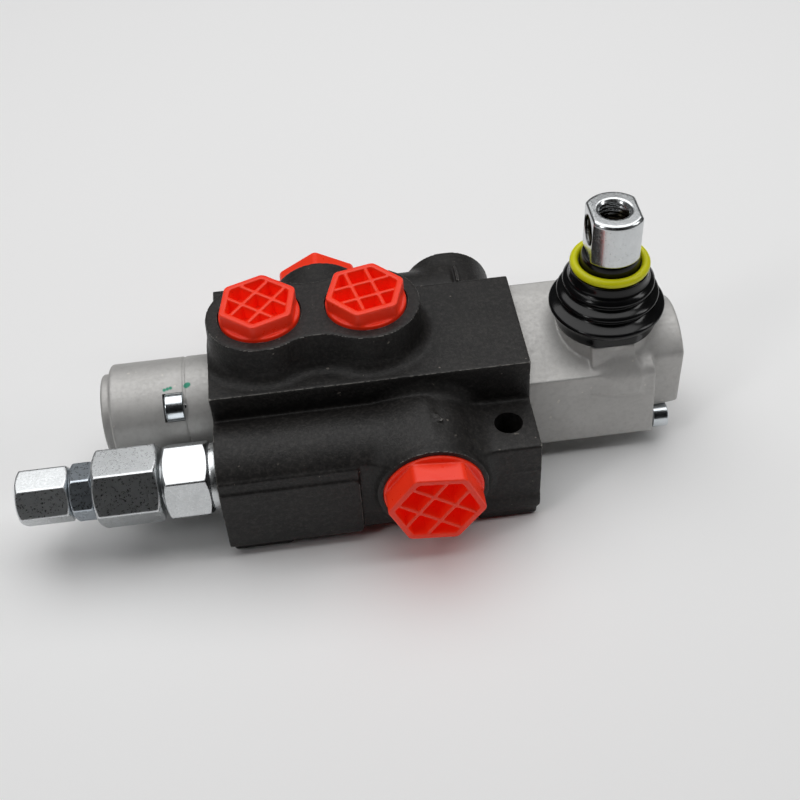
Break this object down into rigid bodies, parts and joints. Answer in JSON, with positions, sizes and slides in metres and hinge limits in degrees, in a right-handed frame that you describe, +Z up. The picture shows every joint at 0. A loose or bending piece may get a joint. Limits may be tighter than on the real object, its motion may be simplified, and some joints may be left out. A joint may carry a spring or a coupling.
{
  "type": "hydraulic monoblock valve",
  "caption": "Single-spool hydraulic directional valve: cast body with plugged ports, side relief valve, spring-centred spool and booted hand-lever joint.",
  "frame": {"origin": "middle of the overall footprint, on the plane of the mounting feet", "axes": "+X along the spool towards the lever, -Y out of the P port, +Z up along the A and B ports and the lever"},
  "size_m": [0.2145, 0.1124, 0.0862],
  "materials": {
    "cast_body": "black, satin, fine sand grain",
    "cast_aluminium": "die-cast, matt",
    "zinc_steel": "bright zinc plate",
    "zinc_screw": "bright zinc plate",
    "ground_steel": "ground",
    "spring_wire": "drawn wire",
    "red_plastic": "moulded, glossy",
    "boot_rubber": "moulded, glossy",
    "yellow_rubber": "smooth",
    "seal_rubber": "matt",
    "bonded_seal": "matt",
    "nylon": "turned"
  },
  "bodies": {
    "base": {"valve_body": "cast_body", "port_plug_a": "red_plastic", "port_plug_b": "red_plastic", "port_plug_p": "red_plastic", "port_plug_t": "red_plastic", "n_port_plug": "zinc_steel", "n_port_seal": "bonded_seal", "check_seat": "ground_steel", "check_spring": "spring_wire", "relief_washer": "zinc_steel", "relief_adapter": "zinc_steel", "relief_o_ring": "seal_rubber", "relief_seat": "ground_steel", "relief_spring": "spring_wire", "relief_spring_seat": "ground_steel", "relief_adjusting_screw": "zinc_steel", "relief_housing": "zinc_steel", "relief_lock_nut": "zinc_steel", "relief_cap_nut": "zinc_steel", "spool_seal_left": "seal_rubber", "spool_seal_right": "seal_rubber", "seal_ring_left": "ground_steel", "seal_ring_right": "ground_steel", "centring_washer_inner": "ground_steel", "centring_washer_outer": "ground_steel", "centring_spring": "spring_wire", "spring_cap": "cast_aluminium", "spring_cap_screws": "zinc_screw", "lever_housing": "cast_aluminium", "lever_housing_screws": "zinc_screw", "ball_seat": "nylon", "ball_retainer": "nylon", "boot": "boot_rubber"},
    "spool": {"spool": "ground_steel", "spool_end_bolt": "zinc_screw"},
    "lever": {"lever_stem": "ground_steel", "lever_head": "zinc_steel", "boot_ring": "yellow_rubber"},
    "relief_poppet": {"relief_poppet": "ground_steel"},
    "check_poppet": {"check_poppet": "ground_steel"}
  },
  "joints": [
    {"name": "lever_tilt", "type": "hinge", "parent": "base", "child": "lever", "pos_m": [0.0833, 0, 0.0481], "axis": [0, 1, 0], "range_deg": [-16.19, 16.19], "stiffness_Nm_per_rad": 3.2, "deforming": ["boot"]},
    {"name": "spool_slide", "type": "slide", "parent": "base", "child": "spool", "axis": [1, 0, 0], "range_m": [-0.0065, 0.0065], "deforming": ["centring_spring", "centring_washer_inner", "centring_washer_outer"]},
    {"name": "relief_lift", "type": "slide", "parent": "base", "child": "relief_poppet", "axis": [-1, 0, 0], "range_m": [0, 0.003], "stiffness_N_per_m": 4000, "springref_m": -0.004, "deforming": ["relief_spring"]},
    {"name": "check_lift", "type": "slide", "parent": "base", "child": "check_poppet", "axis": [0, 1, 0], "range_m": [0, 0.0022], "stiffness_N_per_m": 300, "springref_m": -0.002, "deforming": ["check_spring"]}
  ],
  "couplings": [
    {"joint": "spool_slide", "follows": "lever_tilt", "m_per_rad": -0.023}
  ]
}
